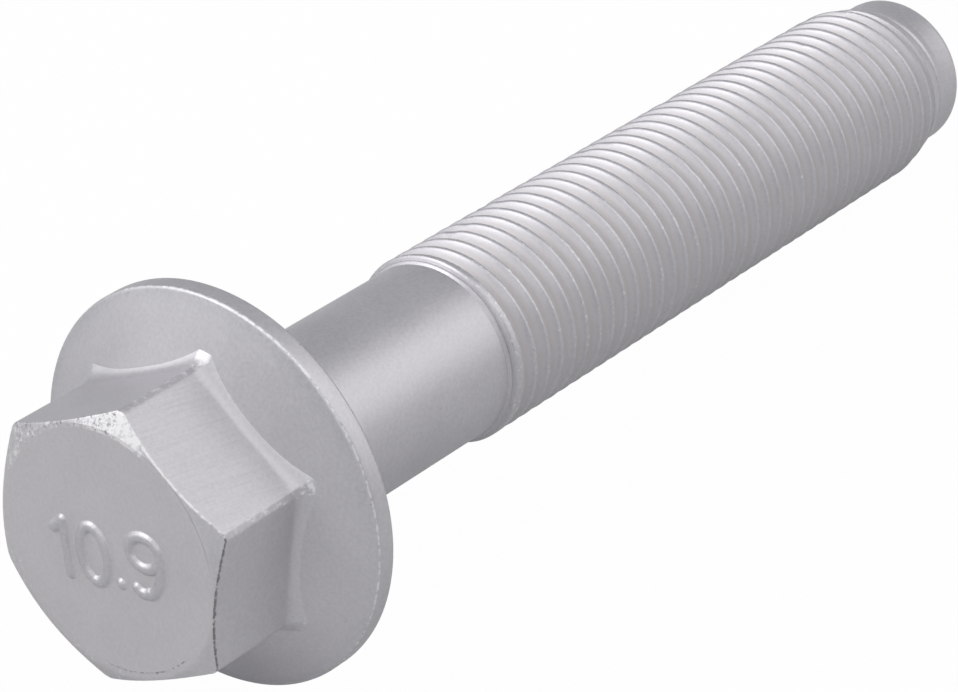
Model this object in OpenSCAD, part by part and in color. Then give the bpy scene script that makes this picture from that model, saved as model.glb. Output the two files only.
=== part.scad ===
// Flange bolt for a car's control arm, forged, turned and rolled from one bar of steel:
// a chamfered hexagon on a sloped flange, a waisted shank, a fine thread and a pilot point.
// Millimetres. The bolt lies as it comes to rest, on its flange's rim and its thread's end.
// The origin is the centre of the bearing face, +X runs towards the point and +Z is up.

/* [Head] */
// Across flats, the spanner's size
across_flats = 18; // [16:0.5:21]
// How far each corner is worn back from the sharp hexagon
corner_relief = 0.14; // [0.06:0.02:0.4]
// Height of the head, from the bearing face to the flat top
head_h = 11.5; // [10:0.5:15]
// Slope of the chamfer that cuts the top corners
chamfer_angle = 30; // [15:1:45]
// How far the flat top's circle lies inside the flats
top_inset = 0.1; // [0.05:0.05:1]
// Radius of the fillet that runs from the hexagon into the flange
fillet_r = 1.7; // [1:0.1:2.2]
// Turn of the hexagon about the bolt's axis, where 0 has a corner straight down
head_turn = 1.9; // [0:0.1:59.9]

/* [Flange] */
// Diameter of the flange
flange_d = 28.3; // [26:0.1:32]
// Height of the flange's rim
rim_h = 1.5; // [1:0.1:2.5]
// Slope of the flange's upper side
flange_slope = 23; // [15:1:27]
// Radius on the rim's two edges
rim_edge_r = 0.25; // [0.1:0.05:0.5]

/* [Shank] */
// Length of the plain shank, from the bearing face to its shoulder
shank_l = 21.75; // [15:0.25:40]
// Length of the shoulder where the shank widens into the thread
shoulder_l = 1; // [0.5:0.1:2]
// Radius of the fillet under the head
under_head_r = 0.8; // [0.4:0.1:1.2]

/* [Thread] */
// Outer diameter of the thread
thread_d = 14; // [12:1:16]
// Pitch of the thread
thread_pitch = 1.5; // [1:0.25:2]
// Length of the bolt, from the bearing face to its end
bolt_l = 81; // [60:1:120]

/* [Point] */
// Length of the cone between the thread and the pilot
point_l = 4.1; // [2:0.1:6]
// Length of the pilot, with its rounded end
pilot_l = 2.5; // [1.5:0.1:5]
// How far the pilot's wall lies inside the thread's root
pilot_relief = 0.14; // [0.05:0.01:0.6]
// Radius on the pilot's end
pilot_end_r = 0.8; // [0.3:0.1:1.4]

/* [Hidden] */

// Smoothness of the round walls, of the small arcs, and of the wide arc along each flat
wall_fn = 120;
arc_fn = 48;
crown_fn = 180;

sides = 6;
half_flats = across_flats / 2;
sharp_corner_r = half_flats / cos(180 / sides);
corner_r = sharp_corner_r - corner_relief;
top_r = half_flats - top_inset;
chamfer_h = head_h - (corner_r - top_r) * tan(chamfer_angle);
flange_r = flange_d / 2;

// A rolled metric thread, in shares of its pitch: the plain shank has the pitch diameter, and
// the root lies deeper. Both are steps in diameter.
blank_depth = 0.6495 * thread_pitch;
root_depth = 1.2269 * thread_pitch;
thread_r = thread_d / 2;
shank_r = (thread_d - blank_depth) / 2;
pilot_r = (thread_d - root_depth) / 2 - pilot_relief;
thread_start = shank_l + shoulder_l;
thread_end = bolt_l - pilot_l - point_l;

// The fillet meets the flange's slope this far out from the wall it starts on. It is sunk a
// little, so that the two surfaces cross in one clear line.
fillet_reach = fillet_r * (1 - sin(flange_slope));
fillet_sink = 0.1;

// Height of the flange's upper side at a radius, over the bearing face
function flange_top(r) = rim_h + (flange_r - r) * tan(flange_slope);

// Height of the foot of a fillet whose wall stands at radius r and whose outer line lies at radius reach_r
function fillet_foot(reach_r) =
    flange_top(reach_r) - fillet_r * (1 - cos(flange_slope)) - fillet_sink;

corner_foot = fillet_foot(corner_r + fillet_reach);
flat_foot = fillet_foot(half_flats + fillet_reach);

// Along a flat the flange falls away to both corners, so the fillet follows a wide arc in the
// flat's own plane, through its highest point at mid flat and the two corners of its outer line
crown_half = (half_flats + fillet_reach) * tan(180 / sides);
crown_drop = flat_foot - fillet_foot((half_flats + fillet_reach) / cos(180 / sides));
crown_r = (crown_half ^ 2 + crown_drop ^ 2) / (2 * crown_drop);

// At rest the rim's lower edge and the thread's end touch the ground: the line through both
// leaves the bolt's axis at this angle
rest_rise = flange_r - rim_edge_r - thread_r;
rest_run = thread_end - rim_edge_r;
rest_tilt = atan2(rest_rise, rest_run) + asin(rim_edge_r / norm([rest_rise, rest_run]));

// Section of the hexagon's corners, from the axis out: chamfer, worn corner and flared foot
module corner_section() {
    difference() {
        polygon([
            [0, rim_h],
            [corner_r + fillet_reach, rim_h],
            [corner_r + fillet_reach, corner_foot + fillet_r],
            [corner_r, corner_foot + fillet_r],
            [corner_r, chamfer_h],
            [top_r, head_h],
            [0, head_h]
        ]);
        translate([corner_r + fillet_r, corner_foot + fillet_r])
            circle(fillet_r, $fn = arc_fn);
    }
}

// Section across one flat, in the distance from the centre of the wide arc and in the distance
// from the bolt's axis
module flat_section() {
    reach = crown_r + 2 * head_h;
    difference() {
        union() {
            translate([0, -flange_r])
                square([reach, flange_r + half_flats]);
            square([crown_r + fillet_r, half_flats + fillet_reach]);
        }
        translate([crown_r + fillet_r, half_flats + fillet_r])
            circle(fillet_r, $fn = arc_fn);
    }
}

// All that lies inside one flat and its fillet: the section turned about the wide arc's centre
module inside_flat() {
    translate([0, 0, flat_foot - crown_r])
        rotate([0, 90, 0])
            rotate_extrude($fn = crown_fn)
                flat_section();
}

// Hexagon head: what lies inside all six flats and inside the turned outline of the corners
module hexagon() {
    intersection() {
        rotate_extrude($fn = wall_fn)
            corner_section();
        intersection_for (side = [0 : sides - 1])
            rotate([0, 0, (side + 0.5) * 360 / sides])
                inside_flat();
    }
}

// Section of the flange: flat bearing face, rim with two rounded edges, and the slope up to the axis
module flange_section() {
    edge_run = rim_edge_r / tan((90 + flange_slope) / 2);
    edge_r = flange_r - rim_edge_r;
    polygon([
        [0, 0],
        [edge_r, 0],
        [flange_r, rim_edge_r],
        [flange_r, rim_h - edge_run],
        [flange_r - edge_run * cos(flange_slope), rim_h + edge_run * sin(flange_slope)],
        [0, flange_top(0)]
    ]);
    for (edge_h = [rim_edge_r, rim_h - edge_run])
        translate([edge_r, edge_h])
            circle(rim_edge_r, $fn = arc_fn);
}

// Section of the stem, from inside the flange to the point
module stem_section() {
    end_r = pilot_r - pilot_end_r;
    polygon([
        [0, -rim_h],
        [shank_r, -rim_h],
        [shank_r, shank_l],
        [thread_r, thread_start],
        [thread_r, thread_end],
        [pilot_r, thread_end + point_l],
        [pilot_r, bolt_l - pilot_end_r],
        [end_r, bolt_l],
        [0, bolt_l]
    ]);
    translate([end_r, bolt_l - pilot_end_r])
        circle(pilot_end_r, $fn = arc_fn);
    difference() {
        square([shank_r + under_head_r, under_head_r]);
        translate([shank_r + under_head_r, under_head_r])
            circle(under_head_r, $fn = arc_fn);
    }
}

// Head with its flange, standing on the bearing face
module head() {
    hexagon();
    rotate_extrude($fn = wall_fn)
        flange_section();
}

// Shank, thread and point, from the bearing face up
module stem() {
    rotate_extrude($fn = wall_fn)
        stem_section();
}

// The bolt in one piece, zinc-flake coated, laid down as it rests
module bolt() {
    color([0.72, 0.72, 0.74])
        rotate([0, 90 + rest_tilt, 0])
            rotate([0, 0, head_turn]) {
                rotate([180, 0, 0])
                    head();
                stem();
            }
}

bolt();
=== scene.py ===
import math
import random

import bmesh
import bpy
from mathutils import Euler, Matrix, Vector, kdtree, noise


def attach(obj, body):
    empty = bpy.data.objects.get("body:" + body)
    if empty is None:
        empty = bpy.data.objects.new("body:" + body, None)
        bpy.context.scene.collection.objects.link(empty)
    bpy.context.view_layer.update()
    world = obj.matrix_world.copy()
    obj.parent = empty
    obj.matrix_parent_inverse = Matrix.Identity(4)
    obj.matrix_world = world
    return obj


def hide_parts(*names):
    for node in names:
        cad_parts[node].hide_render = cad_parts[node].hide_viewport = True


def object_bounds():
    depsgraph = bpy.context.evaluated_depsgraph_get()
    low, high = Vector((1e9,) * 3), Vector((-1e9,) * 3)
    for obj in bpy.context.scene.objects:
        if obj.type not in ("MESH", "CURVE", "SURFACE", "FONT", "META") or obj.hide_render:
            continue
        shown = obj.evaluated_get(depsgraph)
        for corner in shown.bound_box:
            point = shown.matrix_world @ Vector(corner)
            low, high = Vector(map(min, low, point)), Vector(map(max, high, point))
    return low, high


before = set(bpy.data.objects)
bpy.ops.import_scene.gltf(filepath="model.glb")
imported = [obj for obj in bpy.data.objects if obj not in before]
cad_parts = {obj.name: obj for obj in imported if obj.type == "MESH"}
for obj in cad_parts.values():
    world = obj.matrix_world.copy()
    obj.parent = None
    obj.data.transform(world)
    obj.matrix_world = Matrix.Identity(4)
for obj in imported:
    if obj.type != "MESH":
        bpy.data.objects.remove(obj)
cad_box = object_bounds()
bpy.ops.object.select_all(action="DESELECT")


# HEAD
# The head is hot-forged on the end of a steel bar: a hexagon 18 mm across flats, chamfered round
# its top. Each flat ends in a hollow fillet that follows the flange's slope, so the blunt corners
# flare out in a small foot. No tool draws that flare, so each ring is laid on its own outline.
columns = 144
flat_shares = (
    -1, -0.985, -0.94, -0.85, -0.7, -0.55, -0.4, -0.2, 0,
    0.2, 0.4, 0.55, 0.7, 0.85, 0.94, 0.985, 1,
)
whole_side = math.radians(60)
half_side = math.radians(30)
head_turn = math.radians(1.9)
half_flats = 0.009
corner_relief = 0.00014
corner_r = half_flats / math.cos(half_side) - corner_relief
head_height = 0.0115
chamfer_slope = math.tan(math.radians(30))
top_r = 0.0089
top_sink = 0.00004
flat_fillet_r = 0.00105
corner_fillet_r = 0.0019
fillet_sink = 0.00005
flange_r = 0.014146
rim_height = 0.0015
slope = math.radians(23)
softened = 0.000012


def flange_top(radius):
    return rim_height + (flange_r - radius) * math.tan(slope)


def fillet_foot(out, across, fillet_r):
    """Height of the lowest line of a fillet that starts on the wall at this place."""
    reach = fillet_r * (1 - math.sin(slope))
    slope_height = flange_top(math.hypot(out + reach, across))
    return slope_height - fillet_r * (1 - math.cos(slope)) - fillet_sink


def on_fillet(turn, across, share):
    """How far out and how high a flat's fillet is where its arc has turned so far.

    The fillet is tight in the middle of the flat and widens towards the two corners."""
    fillet_r = flat_fillet_r + (corner_fillet_r - flat_fillet_r) * share**3
    out = half_flats + fillet_r * (1 - math.cos(turn))
    return out, fillet_foot(half_flats, across, fillet_r) + fillet_r * (1 - math.sin(turn))


def corner_radius(turn):
    """Radius of the blunt corner, which flares with the fillets on both its sides."""
    return corner_r + corner_fillet_r * (1 - math.cos(turn))


def flat_edge(turn):
    """Half the width of a flat's fillet there, up to the blunt corner."""
    return math.sqrt(corner_radius(turn) ** 2 - (half_flats + corner_radius(turn) - corner_r) ** 2)


def foot_turn(share):
    """Turn of the fillet's arc where it meets the flange, found by halving its range."""
    halvings = 24
    low, high = 0.0, math.radians(60)
    for step in range(halvings):
        turn = (low + high) / 2
        across = share * flat_edge(turn)
        out, height = on_fillet(turn, across, share)
        if height > flange_top(math.hypot(out, across)):
            low = turn
        else:
            high = turn
    return low


def hexagon_ring(flat_point, round_corner):
    """A ring of columns: on each side seven round the blunt corner and 17 across the flat."""
    out, across, edge_height = flat_point(1)
    edge_turn = half_side - math.atan2(across, out)
    ring = []
    for side in range(6):
        corner = head_turn + math.radians(60 * side)
        places = []
        for share in (0, 0.25, 0.5, 0.75):
            places.append((corner + edge_turn * share, round_corner, edge_height))
        for share in flat_shares:
            out, across, height = flat_point(abs(share))
            far = math.hypot(out, across) - (softened if abs(share) == 1 else 0)
            off_middle = math.atan2(math.copysign(across, share), out)
            places.append((corner + half_side + off_middle, far, height))
        for share in (0.75, 0.5, 0.25):
            places.append((corner + whole_side - edge_turn * share, round_corner, edge_height))
        for angle, far, height in places:
            ring.append(Vector((far * math.cos(angle), far * math.sin(angle), -height)))
    return ring


def round_ring(radius, height):
    """A ring of evenly spaced columns at a height over the bearing face."""
    ring = []
    for column in range(columns):
        angle = head_turn + math.tau * column / columns
        ring.append(Vector((radius * math.cos(angle), radius * math.sin(angle), -height)))
    return ring


def next_ring(ring):
    """Extrudes the open ring and lays its points on the next outline, column by column."""
    global laid
    last = kdtree.KDTree(columns)
    for column, place in enumerate(laid):
        last.insert(place, column)
    last.balance()
    bpy.ops.mesh.extrude_edges_indiv()
    shape = bmesh.from_edit_mesh(bpy.context.object.data)
    for vertex in shape.verts:
        if vertex.select:
            vertex.co = ring[last.find(vertex.co)[1]]
    bmesh.update_edit_mesh(bpy.context.object.data)
    laid = ring


def first_ring(name, ring):
    """Starts a piece as a circle whose points are laid on the first outline."""
    global laid
    bpy.ops.mesh.primitive_circle_add(vertices=columns, radius=corner_r)
    piece = bpy.context.object
    piece.name = name
    for vertex in piece.data.vertices:
        angle = math.atan2(vertex.co.y, vertex.co.x) % math.tau
        vertex.co = ring[round(angle / math.tau * columns) % columns]
    bpy.ops.object.mode_set(mode="EDIT")
    bpy.ops.mesh.select_all(action="SELECT")
    laid = ring
    return piece


fillet_rows = 10
foot_turns = {abs(share): foot_turn(abs(share)) for share in flat_shares}


def fillet_ring(row):
    """Ring of the fillets, from their foot on the flange (row 0) up to the walls."""
    left = 1 - row / fillet_rows

    def flat_point(share):
        turn = foot_turns[share] * left
        across = share * flat_edge(turn)
        out, height = on_fillet(turn, across, share)
        return out, across, height

    return hexagon_ring(flat_point, corner_radius(foot_turns[1] * left))


wall_half = flat_edge(0)


def chamfer_top(radius):
    """Height of the chamfer's cone, which the top's dished edge takes down a little."""
    inwards = (corner_r - radius) / (corner_r - top_r)
    return head_height - (radius - top_r) * chamfer_slope - top_sink * inwards


def wall_ring(part, below=0.0):
    """Ring of the flat walls, from the fillets (0) to the chamfer (1), or a distance below that."""

    def flat_point(share):
        across = share * wall_half
        low = on_fillet(0, across, share)[1]
        high = chamfer_top(math.hypot(half_flats, across)) - below
        return half_flats, across, low + (high - low) * part

    return hexagon_ring(flat_point, corner_r)


edge = wall_ring(1)


def chamfer_ring(part, most=1.0):
    """Ring of the chamfer, from the walls' edge (0) to the top (1), but no further in than most."""
    ring = []
    for place in edge:
        far = place.xy.length
        radius = far - min((far - top_r) * part, most)
        ring.append(Vector((place.x * radius / far, place.y * radius / far, -chamfer_top(radius))))
    return ring


top_centre = Vector((-0.00015, -0.0001))
edge_inset = 0.9985
edge_sink = 0.000005


def top_ring(radius, sink):
    """Ring of the top face, round the middle of the punch's print."""
    ring = []
    for place in edge:
        side = top_centre + place.xy.normalized() * radius
        ring.append(Vector((side.x, side.y, sink - head_height)))
    return ring


head = first_ring("bolt_body", fillet_ring(0))
for row in range(1, fillet_rows + 1):
    next_ring(fillet_ring(row))
for part in (0.05, 0.15, 0.3, 0.45, 0.6, 0.75, 0.87):
    next_ring(wall_ring(part))
for below in (0.0004, 0.0002, 0.00006):
    next_ring(wall_ring(1, below))
next_ring([
    Vector((place.x * edge_inset, place.y * edge_inset, place.z + edge_sink)) for place in edge
])
for part, most in ((0.4, 0.00005), (0.5, 0.00012)):
    next_ring(chamfer_ring(part, most))
for part in (0.55, 0.75, 0.92, 1):
    next_ring(chamfer_ring(part))
for radius, sink in (
    (0.00878, 0.000034), (0.00855, 0.00001), (0.00849, 0.000002),
    (0.0084, 0), (0.008, 0), (0.0073, 0),
):
    next_ring(top_ring(radius, sink))
bpy.ops.object.mode_set(mode="OBJECT")


# STRENGTH CLASS
# The punch that forms the top leaves the steel's class in low rounded strokes. They are drawn
# here as plain lines and arcs, and a fine grid rises where it lies near one of them.
stroke_half = 0.00042
stroke_height = 0.00026
stroke_roundness = 2.2
reading = Vector((-0.22, -0.9755))
upwards = Vector((-0.9755, 0.22))


def arc(middle, wide, tall, start, end, steps):
    """Points along a part of an ellipse, in millimetres, with the angles in degrees."""
    points = []
    for step in range(steps + 1):
        angle = math.radians(start + (end - start) * step / steps)
        points.append((middle[0] + wide * math.cos(angle), middle[1] + tall * math.sin(angle)))
    return points


strokes = [
    [(-4.3, 0.95), (-3.75, 1.35), (-3.45, 1.6), (-3.5, -2.2)],
    arc((-1.07, -0.36), 1.15, 1.95, 0, 360, 32),
    [(1.0, -2.0), (1.02, -2.02)],
    arc((3.45, 0.65), 1.3, 1.12, 0, 360, 28),
    arc((3.0, 0.3), 1.78, 2.65, 6, -78, 14) + arc((3.0, -1.7), 0.75, 0.62, -50, -150, 5),
]
lines = []
for stroke in strokes:
    for start, end in zip(stroke, stroke[1:]):
        lines.append((Vector(start) / 1000, (Vector(end) - Vector(start)) / 1000))


def off_stroke(place):
    """Distance from a place on the top to the nearest stroke's middle line."""
    nearest = 1.0
    for start, run in lines:
        along = max(0.0, min(1.0, (place - start).dot(run) / run.length_squared))
        nearest = min(nearest, (place - start - run * along).length_squared)
    return math.sqrt(nearest)


grid_left, grid_right, grid_low, grid_high = -0.00525, 0.00555, -0.0033, 0.0027
grid_step = 0.000062
wide = round((grid_right - grid_left) / grid_step)
tall = round((grid_high - grid_low) / grid_step)
bpy.ops.mesh.primitive_grid_add(x_subdivisions=wide, y_subdivisions=tall, size=1)
numerals = bpy.context.object
numerals.name = "numerals"
for vertex in numerals.data.vertices:
    place = Vector((
        grid_left + (vertex.co.x + 0.5) * (grid_right - grid_left),
        grid_low + (vertex.co.y + 0.5) * (grid_high - grid_low),
    ))
    share = off_stroke(place) / stroke_half
    rise = stroke_height * max(0.0, 1 - share**stroke_roundness)
    side = reading * place.x + upwards * place.y
    vertex.co = (side.x, side.y, -head_height - rise)


# FLANGE
# The round flange is one piece with the head. Its slope starts at the fillets' foot, its rim is
# rounded by the forging die, and its bearing face is turned flat.
rim_edge_r = 0.00025
rim_edge_share = math.tan(math.radians((90 - 23) / 2))
under_head_r = 0.0008
thread_d = 0.014
pitch = 0.0015
blank_depth = 0.6495
shank_r = (thread_d - blank_depth * pitch) / 2
same_place = 0.000001

foot = fillet_ring(0)
foot_tree = kdtree.KDTree(columns)
for column, place in enumerate(foot):
    foot_tree.insert(place, column)
foot_tree.balance()


def choose_foot(piece):
    """Opens edit mode with only the edges of the fillets' foot selected."""
    bpy.ops.object.mode_set(mode="EDIT")
    bpy.ops.mesh.select_mode(type="EDGE")
    bpy.ops.mesh.select_all(action="DESELECT")
    shape = bmesh.from_edit_mesh(piece.data)
    for side in shape.edges:
        side.select = all(foot_tree.find(vertex.co)[2] < same_place for vertex in side.verts)
    bmesh.update_edit_mesh(piece.data)


bpy.context.view_layer.objects.active = head
choose_foot(head)
laid = foot
rim_edge = []
for degrees in (67, 45, 22, 0):
    angle = math.radians(degrees)
    rim_edge.append((
        flange_r - rim_edge_r * (1 - math.cos(angle)),
        rim_height + rim_edge_r * (math.sin(angle) - rim_edge_share),
    ))
slope_end = round_ring(*rim_edge[0])
for part in (0.02, 0.06, 0.13, 0.24, 0.36, 0.48, 0.6, 0.72, 0.84, 0.93, 0.98):
    ring = []
    for inner, outer in zip(foot, slope_end):
        place = inner.lerp(outer, part)
        place.z = -flange_top(place.xy.length)
        ring.append(place)
    next_ring(ring)
for radius, height in rim_edge:
    next_ring(round_ring(radius, height))
for height in (0.001, 0.0006):
    next_ring(round_ring(flange_r, height))
for degrees in (0, 22, 45, 68, 90):
    angle = math.radians(degrees)
    next_ring(round_ring(
        flange_r - rim_edge_r * (1 - math.cos(angle)), rim_edge_r * (1 - math.sin(angle))
    ))
for radius in (0.0138, 0.0125, 0.011, 0.0095, 0.0082, shank_r + under_head_r):
    next_ring(round_ring(radius, 0))


# SHANK
# The plain shank is the bar's own surface, cold-drawn to the thread's pitch diameter. It leaves
# the bearing face in a small fillet. A short shoulder with a fine notch widens it to the thread.
shank_length = 0.02175
shoulder = (
    (0.00008, 0.00011), (0.00015, 0.0002), (0.0002, 0.00021),
    (0.00026, 0.0001), (0.00031, 0.0001), (0.00042, 0.00029), (0.0005, 0.00044),
)

for degrees in (15, 30, 45, 60, 75, 90):
    angle = math.radians(degrees)
    next_ring(round_ring(
        shank_r + under_head_r * (1 - math.sin(angle)), -under_head_r * (1 - math.cos(angle))
    ))
for along in (0.002, 0.005, 0.009, 0.013, 0.017, 0.0205, 0.0216, shank_length):
    next_ring(round_ring(shank_r, -along))
for run, rise in shoulder:
    next_ring(round_ring(shank_r + rise, -(shank_length + run)))
bpy.ops.object.mode_set(mode="OBJECT")


# THREAD
# A fine right-hand thread, rolled cold into the shank: M14 with a pitch of 1.5 mm. The dies leave
# round-edged crests, which get small knocks later. The first groove fades in past the shoulder,
# and the last ones run out on the point's cone.
bolt_length = 0.081
pilot_length = 0.0025
point_length = 0.0041
pilot_start = bolt_length - pilot_length
thread_end = pilot_start - point_length
thread_r = thread_d / 2
root_depth = 1.2269
root_r = (thread_d - root_depth * pitch) / 2
pilot_relief = 0.00014
pilot_r = root_r - pilot_relief
rolled_from, rolled_r = shank_length + shoulder[-1][0], shank_r + shoulder[-1][1]
rolled_slope = 0.47
fade_in = 0.0002
first_ridge = 0.02177
near_crest = 0.1
wave_depth = 0.00001
ridge_profile = (
    (0, 0), (0.12, 0.006), (0.2, 0.04), (0.29, 0.13), (0.545, 0.505), (0.8, 0.89), (1, 1),
)


def blank_radius(along):
    """Radius of the shoulder's end, the full thread and the point's cone."""
    if along > thread_end:
        return thread_r + (along - thread_end) / point_length * (pilot_r - thread_r)
    return min(rolled_r + (along - rolled_from) * rolled_slope, thread_r)


def groove_depth(groove):
    """Depth of a groove, which grows to the full one in about an eighth of a turn."""
    return (thread_r - root_r) * min(max((groove - rolled_from) / fade_in - 1, 0), 1)


one_ridge = [(*step, 1) for step in ridge_profile]
one_ridge += [(*step, -1) for step in reversed(ridge_profile[1:-1])]
turns = math.ceil((pilot_start - rolled_from) / pitch) + 3
rows = turns * len(one_ridge)
knock_count = 70
knocks = {}
chance = random.Random(14)
for knock in range(knock_count):
    middle = chance.randrange(3 * columns, (turns - 4) * columns)
    depth = chance.uniform(0.00002, 0.00008)
    for step, share in ((-2, 0.25), (-1, 0.8), (0, 1.0), (1, 0.7), (2, 0.2)):
        knocks[middle + step] = depth * share

bpy.ops.mesh.primitive_grid_add(x_subdivisions=columns, y_subdivisions=rows, size=1)
thread = bpy.context.object
thread.name = "thread"
for vertex in thread.data.vertices:
    column = round((vertex.co.x + 0.5) * columns)
    turn, place = divmod(round((vertex.co.y + 0.5) * rows), len(one_ridge))
    way, sunk, side = one_ridge[place]
    ridge = first_ridge + (turn - 1 + column / columns + (1 if side == -1 else 0)) * pitch
    along = ridge + side * way * pitch / 2
    radius = thread_r - groove_depth(ridge + side * pitch / 2) * sunk
    if along <= rolled_from:
        along, radius = rolled_from, rolled_r
    elif along >= pilot_start:
        along, radius = pilot_start, pilot_r
    elif sunk < near_crest:
        on_helix = turn * columns + column + (columns if side == -1 else 0)
        wave = 0.5 + noise.noise(Vector((on_helix * 0.13, 0.4, 0.7)))
        radius -= wave_depth * max(wave, 0) + knocks.get(on_helix, 0)
    radius = min(radius, blank_radius(along))
    angle = head_turn + math.tau * column / columns
    vertex.co = (radius * math.cos(angle), radius * math.sin(angle), along)


# POINT
# Past the thread the bar is turned down to a pilot with a rounded end, which finds the hole.
# The whole bolt is then one piece of steel, so its parts are joined and their rims merged.
pilot_end_r = 0.0008
point = first_ring("point", round_ring(pilot_r, -pilot_start))
next_ring(round_ring(pilot_r, -(bolt_length - pilot_end_r)))
for degrees in (15, 30, 45, 60, 75, 90):
    angle = math.radians(degrees)
    next_ring(round_ring(
        pilot_r - pilot_end_r * (1 - math.cos(angle)),
        -(bolt_length - pilot_end_r * (1 - math.sin(angle))),
    ))
for radius in (0.0045, 0.003, 0.0015, 0.0005):
    next_ring(round_ring(radius, -bolt_length))
bpy.ops.mesh.edge_face_add()
bpy.ops.object.mode_set(mode="OBJECT")

bpy.ops.object.select_all(action="DESELECT")
for part in (head, numerals, thread, point):
    part.select_set(True)
bpy.context.view_layer.objects.active = head
bpy.ops.object.join()
bolt = head
bpy.ops.object.mode_set(mode="EDIT")
bpy.ops.mesh.select_mode(type="EDGE")
bpy.ops.mesh.select_all(action="SELECT")
bpy.ops.mesh.remove_doubles(threshold=0.0000002)
bpy.ops.mesh.select_all(action="DESELECT")
shape = bmesh.from_edit_mesh(bolt.data)
for side in shape.edges:
    side.select = side.is_boundary
bmesh.update_edit_mesh(bolt.data)
bpy.ops.mesh.fill(use_beauty=True)
bpy.ops.mesh.select_all(action="SELECT")
bpy.ops.mesh.normals_make_consistent(inside=False)
choose_foot(bolt)
bpy.ops.mesh.mark_sharp()
bpy.ops.object.mode_set(mode="OBJECT")
bpy.ops.object.shade_smooth_by_angle(angle=math.radians(50))


# COAT
# The whole bolt is dipped in zinc flakes and baked: a satin pale grey with a fine grain. Handling
# has rubbed it bright on edges and crests, and dirt sits in the chips. Four attributes say where:
# bare steel, grime, the trimming die's drag lines down the flats, and where the coat is thicker.
# The bare steel also lays painted highlights on one hexagon edge and on the rim's front. The grime
# also lays painted shade in the thread's grooves, on the pilot and beside one corner. Besides the
# coat pooled in the grooves, the thick coat's paler colour is painted light on the hexagon's top
# and walls and on the flange's slope.
wear = {name: [] for name in ("bare_steel_and_highlight", "grime_and_shade", "drag_lines", "pooled_coat_and_lightening")}
print_r = 0.00852
banded_side = 2
dragged_side = 3
lip_turn = math.radians(330)

# On each side of the hexagon, the wear of the wall's upper edge. On side 3 the bright edge is
# mostly a painted highlight, from corner B to the middle.
edge_bare_and_highlight = (0.45, 0.45, 0.42, 0.85, 0.15, 0.35)
edge_grime = (0.35, 0.4, 0.52, 0.2, 0.86, 0.5)

# At each corner, the wear of the chamfer's facet and of the strip down the corner
facet_bare = (0.4, 0.4, 0.5, 0.8, 0.15, 0.2)
strip_bare = (0.4, 0.4, 0.45, 0.75, 0.75, 0.4)


def fade(distance, full, none):
    """1 up to one distance, falling to 0 at another."""
    return max(0.0, min(1.0, (none - distance) / (none - full)))


def head_wear(place):
    """Bareness with painted highlight, dirt with painted shade, and die drag at a place on the
    hexagon.
    """
    height = -place.z
    far = place.xy.length
    angle = (math.atan2(place.y, place.x) - head_turn) % math.tau
    side = int(angle // whole_side) % 6
    off_middle = angle - math.radians(60 * side + 30)
    corner = round(angle / whole_side) % 6
    off_corner = abs(abs(off_middle) - half_side)
    # Past the middle of side 3 the painted highlight fades and a darker edge line takes over
    past_middle = max(off_middle / half_side, 0) if side == dragged_side else 0
    rubbed_and_lit_edge = edge_bare_and_highlight[side] - 0.25 * past_middle
    dirty_edge = edge_grime[side] + 0.4 * past_middle
    outline = min(half_flats / math.cos(off_middle), corner_r)
    if height > head_height - 0.0009 and far < outline - 0.00001:
        off_print = (place.xy - top_centre).length - print_r
        past_print = fade(-off_print, -0.00003, 0.0)
        on_facet = past_print * fade(off_corner, math.radians(13), math.radians(22))
        band = past_print if side == banded_side else 0.0
        lip = 0.62 * fade(abs(angle - lip_turn), math.radians(24), math.radians(42))
        on_lip = lip * fade(abs(off_print), 0.00003, 0.00007)
        on_edge = fade(outline - far, 0.00005, 0.00012)
        return (
            max(facet_bare[corner] * on_facet, rubbed_and_lit_edge * on_edge, 0.48 * band),
            max(on_lip, dirty_edge * on_edge, 0.5 * band),
            0.0,
        )
    to_edge = chamfer_top(far) - height
    wall_foot = on_fillet(0, wall_half, 1)[1]
    flared = 1 - fade(wall_foot - height, 0.0, corner_fillet_r)
    strip = fade(off_corner * far, 0.00026 + 0.0004 * flared, 0.00034 + 0.0004 * flared)
    strip_wear = strip_bare[corner] * (0.6 + 0.4 * flared) * strip
    # Past the middle of side 3 a thin dark line of painted shadow runs beside the corner strip
    painted_shadow_line = fade(abs(off_corner * far - 0.00034), 0.00003, 0.0001) if past_middle > 0 else 0.0
    return (
        max(rubbed_and_lit_edge * fade(to_edge, 0.00007, 0.0002), strip_wear),
        max(dirty_edge * fade(to_edge, 0.0001, 0.0003), 0.5 * painted_shadow_line),
        (1.0 if side == dragged_side else 0.2) * fade(flared, 0.0, 0.4),
    )


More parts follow.
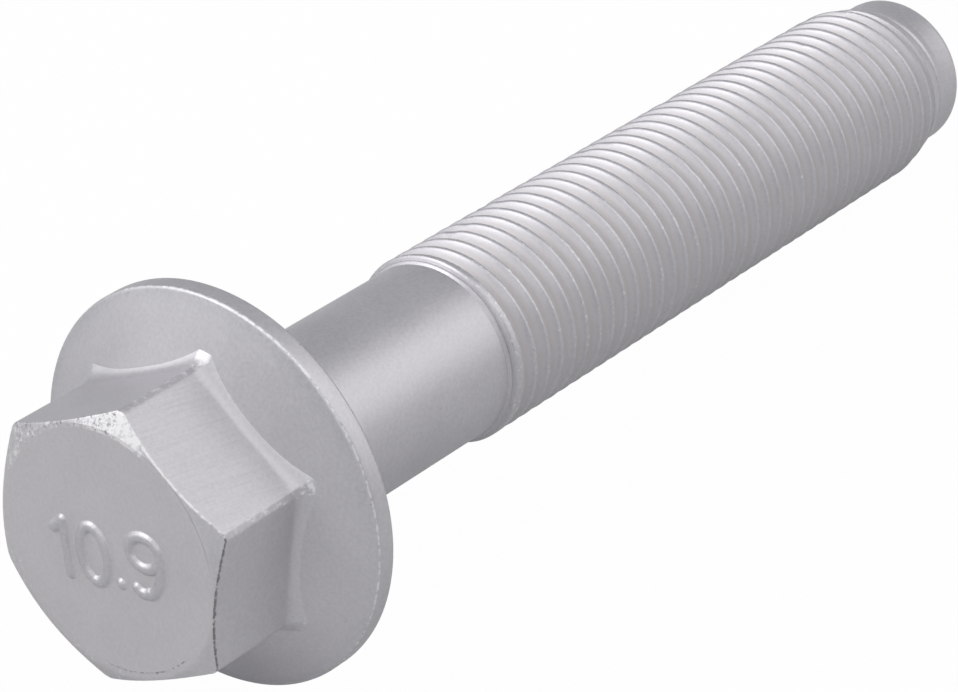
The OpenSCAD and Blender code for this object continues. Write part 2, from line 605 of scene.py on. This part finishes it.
hexagon_low = 0.0017
hexagon_reach = corner_radius(math.radians(90 - 23))
# Painted light: the thick coat's paler colour is laid face by face on the top, walls and slope
top_coat_light, wall_coat_light, slope_coat_light = 0.28, 0.08, 0.12
rim_inside = 0.0135
rim_line_far, rim_line_height = 0.0141, 0.00147
rim_lit_towards = 222
rim_bare, crest_bare = 0.42, 0.42
crest_bare_loss = 2.5
for vertex in bolt.data.vertices:
    place = vertex.co
    far = place.xy.length
    height = -place.z
    rubbed_and_lit, dirt_and_shade, dragged, thick_and_lit = 0.0, 0.0, 0.0, 0.0
    if height > hexagon_low and far < hexagon_reach and height > flange_top(far) + 0.00001:
        rubbed_and_lit, dirt_and_shade, dragged = head_wear(place)
        on_top = height > head_height - 0.0001
        # Painted light makes the top paler than the walls; it fades away up the numerals' strokes
        thick_and_lit = top_coat_light * fade(height - head_height, 0.0, 0.0001) if on_top else wall_coat_light
    elif height > -0.0001 and far > rim_inside:
        # The rim's rounded edge is rubbed and chipped, with a painted highlight growing towards the
        # front
        angle = math.degrees(math.atan2(place.y, place.x)) % 360
        lit_more = fade(abs(angle - rim_lit_towards), 55, 90)
        on_rim = fade(abs(far - rim_line_far), 0.00004, 0.0001)
        on_rim *= fade(abs(height - rim_line_height), 0.00005, 0.0001)
        rubbed_and_lit = (rim_bare + 0.3 * lit_more) * on_rim
        # Dark specks gather at the rim's lower edge and thin out above it
        dirt_and_shade = 0.5 * fade(abs(height - 0.0001), 0.0001, 0.0003)
        dirt_and_shade += 0.3 * fade(rim_line_height - height, 0.0, 0.0006)
    elif height > rim_height:
        # Painted light makes the flange's slope a little paler
        thick_and_lit = slope_coat_light
    elif place.z > pilot_start - 0.001:
        # Painted shade: dark specks darken the pilot, its end and the last millimetre of the point
        dirt_and_shade = 0.3
    elif rolled_from < place.z < pilot_start:
        depth = blank_radius(place.z) - far
        rubbed_and_lit = crest_bare - crest_bare_loss * (place.z - rolled_from)
        rubbed_and_lit *= fade(depth, 0.00002, 0.0001)
        # Painted shade: dark specks in the thread's grooves
        dirt_and_shade = 0.3 * fade(depth, 0.00005, 0.0002)
        thick_and_lit = 1 - fade(depth, 0.00012, 0.0006)
    for name, value in zip(wear, (rubbed_and_lit, dirt_and_shade, dragged, thick_and_lit)):
        wear[name].append(value)
for name, values in wear.items():
    bolt.data.attributes.new(name, "FLOAT", "POINT").data.foreach_set("value", values)

rest_rise = flange_r - rim_edge_r - thread_r
rest_run = thread_end - rim_edge_r
rest_tilt = math.atan2(rest_rise, rest_run)
rest_tilt += math.asin(rim_edge_r / math.hypot(rest_rise, rest_run))
bolt.rotation_euler = (0, math.radians(90) + rest_tilt, 0)
bpy.ops.object.transform_apply(location=False, rotation=True, scale=False)

coat = bpy.data.materials.new("zinc_flake_coat")
coat.use_nodes = True
nodes = coat.node_tree.nodes
links = coat.node_tree.links
skin = nodes["Principled BSDF"]
where = nodes.new("ShaderNodeTexCoord").outputs["Object"]


def grain(scale, detail, roughness=0.5, place=where):
    """A cloudy pattern, from 0 to 1 about 0.5."""
    pattern = nodes.new("ShaderNodeTexNoise")
    pattern.inputs["Scale"].default_value = scale
    pattern.inputs["Detail"].default_value = detail
    pattern.inputs["Roughness"].default_value = roughness
    links.new(place, pattern.inputs["Vector"])
    return pattern.outputs["Fac"]


def sum_up(*terms):
    """Adds up patterns, each times its number, and a last plain number."""
    total = None
    for pattern, times in terms[:-1]:
        step = nodes.new("ShaderNodeMath")
        step.operation = "MULTIPLY_ADD"
        links.new(pattern, step.inputs[0])
        step.inputs[1].default_value = times
        if total is None:
            step.inputs[2].default_value = terms[-1]
        else:
            links.new(total, step.inputs[2])
        total = step.outputs[0]
    return total


def clipped(value):
    """Cuts a pattern off at 0 and 1."""
    step = nodes.new("ShaderNodeClamp")
    links.new(value, step.inputs[0])
    return step.outputs[0]


def tinted(factor, under, over):
    """Lays a colour over another by a mask."""
    mix = nodes.new("ShaderNodeMix")
    mix.data_type = "RGBA"
    links.new(factor, mix.inputs["Factor"])
    for socket, colour in ((mix.inputs[6], under), (mix.inputs[7], over)):
        if isinstance(colour, tuple):
            socket.default_value = (*colour, 1)
        else:
            links.new(colour, socket)
    return mix.outputs[2]


def painted(name):
    """The pattern that one of the four attributes lays on the bolt."""
    pattern = nodes.new("ShaderNodeAttribute")
    pattern.attribute_name = name
    return pattern.outputs["Fac"]


flakes = grain(4200, 2)
clouds = grain(240, 3)
chips = grain(2600, 3, 0.6)
pits = grain(3400, 3, 0.65)

# The die's lines run down the dragged flat, a little askew, far longer than they are wide
line_width, line_length = 0.00016, 0.0035
line_skew = math.radians(-10)
facing = math.radians(212)
down_the_flats = nodes.new("ShaderNodeMapping")
down_the_flats.vector_type = "TEXTURE"
skew = Matrix.Rotation(line_skew, 3, Vector((math.cos(facing), math.sin(facing), 0)))
laid_down = Euler((0, math.radians(90) + rest_tilt, 0)).to_matrix()
down_the_flats.inputs["Rotation"].default_value = (laid_down @ skew).to_euler()
down_the_flats.inputs["Scale"].default_value = (line_width, line_width, line_length)
links.new(where, down_the_flats.inputs["Vector"])
die_lines = grain(1.0, 3, 0.6, down_the_flats.outputs[0])

# Chips and pits show only where their grain and the painted wear add up to enough
bare_and_highlight_mask = clipped(sum_up((painted("bare_steel_and_highlight"), 4.0), (chips, 7.0), -5.6))
grime_and_shade_mask = clipped(sum_up((painted("grime_and_shade"), 3.5), (pits, 6.0), -5.0))
line_step = nodes.new("ShaderNodeMath")
line_step.operation = "MULTIPLY"
links.new(painted("drag_lines"), line_step.inputs[0])
links.new(sum_up((die_lines, 1.0), -0.5), line_step.inputs[1])
die_marks = line_step.outputs[0]

dark_zinc, pale_zinc = (0.475, 0.465, 0.485), (0.655, 0.645, 0.67)
thick_and_lit_zinc = (0.725, 0.7, 0.7)
bare_steel_and_highlight = (0.79, 0.78, 0.785)
grime_and_shade = (0.28, 0.262, 0.265)
shade = clipped(sum_up((flakes, 0.9), (clouds, 0.5), (die_marks, 0.8), -0.2))
zinc = tinted(shade, dark_zinc, pale_zinc)
# Pale bare steel also stands for painted highlights, the grime colour for painted shade, and the
# thick coat's paler colour partly for painted light
pooled_and_lit_zinc = tinted(painted("pooled_coat_and_lightening"), zinc, thick_and_lit_zinc)
rubbed_and_lit_zinc = tinted(bare_and_highlight_mask, pooled_and_lit_zinc, bare_steel_and_highlight)
dirty_and_shaded_zinc = tinted(grime_and_shade_mask, rubbed_and_lit_zinc, grime_and_shade)
links.new(dirty_and_shaded_zinc, skin.inputs["Base Color"])
links.new(clipped(sum_up((painted("pooled_coat_and_lightening"), -0.3), 0.88)), skin.inputs["Metallic"])
satin = sum_up(
    (flakes, 0.12), (clouds, 0.1), (bare_and_highlight_mask, 0.1), (grime_and_shade_mask, 0.2),
    (painted("pooled_coat_and_lightening"), 0.18), 0.36,
)
links.new(clipped(satin), skin.inputs["Roughness"])
relief = nodes.new("ShaderNodeBump")
relief.inputs["Strength"].default_value = 0.4
relief.inputs["Distance"].default_value = 0.00002
bumps = sum_up((flakes, 0.6), (die_marks, 0.5), (bare_and_highlight_mask, -0.5), (grime_and_shade_mask, -0.8), 0.5)
links.new(bumps, relief.inputs["Height"])
links.new(relief.outputs[0], skin.inputs["Normal"])

bolt.data.materials.clear()
bolt.data.materials.append(coat)
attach(bolt, "root")
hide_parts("bolt")


# TABLE AND LIGHT
# A matt white table, wide enough to fill the view, in a pale room. Seven soft lamps stand above
# it, on the right, before the head, on the left and behind. The camera sees the paint as white.
bpy.ops.mesh.primitive_plane_add(size=6, location=(0, 0, cad_box[0][2]))
table = bpy.context.object
table.name = "table"
paint = bpy.data.materials.new("white_table")
paint.use_nodes = True
nodes = paint.node_tree.nodes
links = paint.node_tree.links
nodes.clear()
surface = nodes.new("ShaderNodeOutputMaterial")
mix = nodes.new("ShaderNodeMixShader")
matt = nodes.new("ShaderNodeBsdfDiffuse")
matt.inputs["Color"].default_value = (0.6, 0.6, 0.6, 1)
glow = nodes.new("ShaderNodeEmission")
path = nodes.new("ShaderNodeLightPath")
whiten = sum_up((path.outputs["Is Camera Ray"], 0.98), (path.outputs["Is Glossy Ray"], 0.1), 0.0)
links.new(whiten, mix.inputs[0])
links.new(matt.outputs[0], mix.inputs[1])
links.new(glow.outputs[0], mix.inputs[2])
links.new(mix.outputs[0], surface.inputs[0])
table.data.materials.append(paint)

world = bpy.data.worlds.new("room")
bpy.context.scene.world = world
world.use_nodes = True
walls = world.node_tree.nodes["Background"]
walls.inputs["Color"].default_value = (0.95, 0.96, 1, 1)
walls.inputs["Strength"].default_value = 0.5

bolt_middle = Vector((0.03, 0, 0))


def lamp(name, place, size, power, colour=(1, 1, 1)):
    """A square soft lamp that faces the bolt's middle."""
    bpy.ops.object.light_add(type="AREA", location=place)
    light = bpy.context.object
    light.name = name
    light.data.size = size
    light.data.energy = power
    light.data.color = colour
    towards_bolt = bolt_middle - Vector(place)
    light.rotation_euler = towards_bolt.to_track_quat("-Z", "Y").to_euler()


warm = (1, 0.965, 0.945)
lamp("overhead_lamp", (-0.1, -0.25, 0.9), 1.0, 1.8)
lamp("right_lamp", (0.65, -0.42, 0.52), 0.6, 1.1, warm)
lamp("high_right_lamp", (0.3, -0.42, 0.82), 0.6, 0.75)
lamp("low_right_lamp", (0.75, -0.67, 0.22), 0.4, 0.45, warm)
lamp("front_lamp", (-0.815, -0.31, 0.44), 0.2, 0.7)
lamp("left_lamp", (-0.54, 0.48, 0.67), 0.4, 2.8)
lamp("back_lamp", (-0.35, 0.85, 0.42), 0.7, 1.7)

bpy.ops.object.camera_add()
camera = bpy.context.object
camera.name = "camera"
camera.location = (-0.152062, -0.139324, 0.157096)
looking = Vector((0.642579, 0.500414, -0.58024))
camera.rotation_euler = looking.to_track_quat("-Z", "Y").to_euler()
camera.data.sensor_width = 36
camera.data.lens = 149.452
camera.data.clip_start = 0.01
bpy.context.scene.camera = camera
bpy.context.scene.view_settings.view_transform = "Standard"
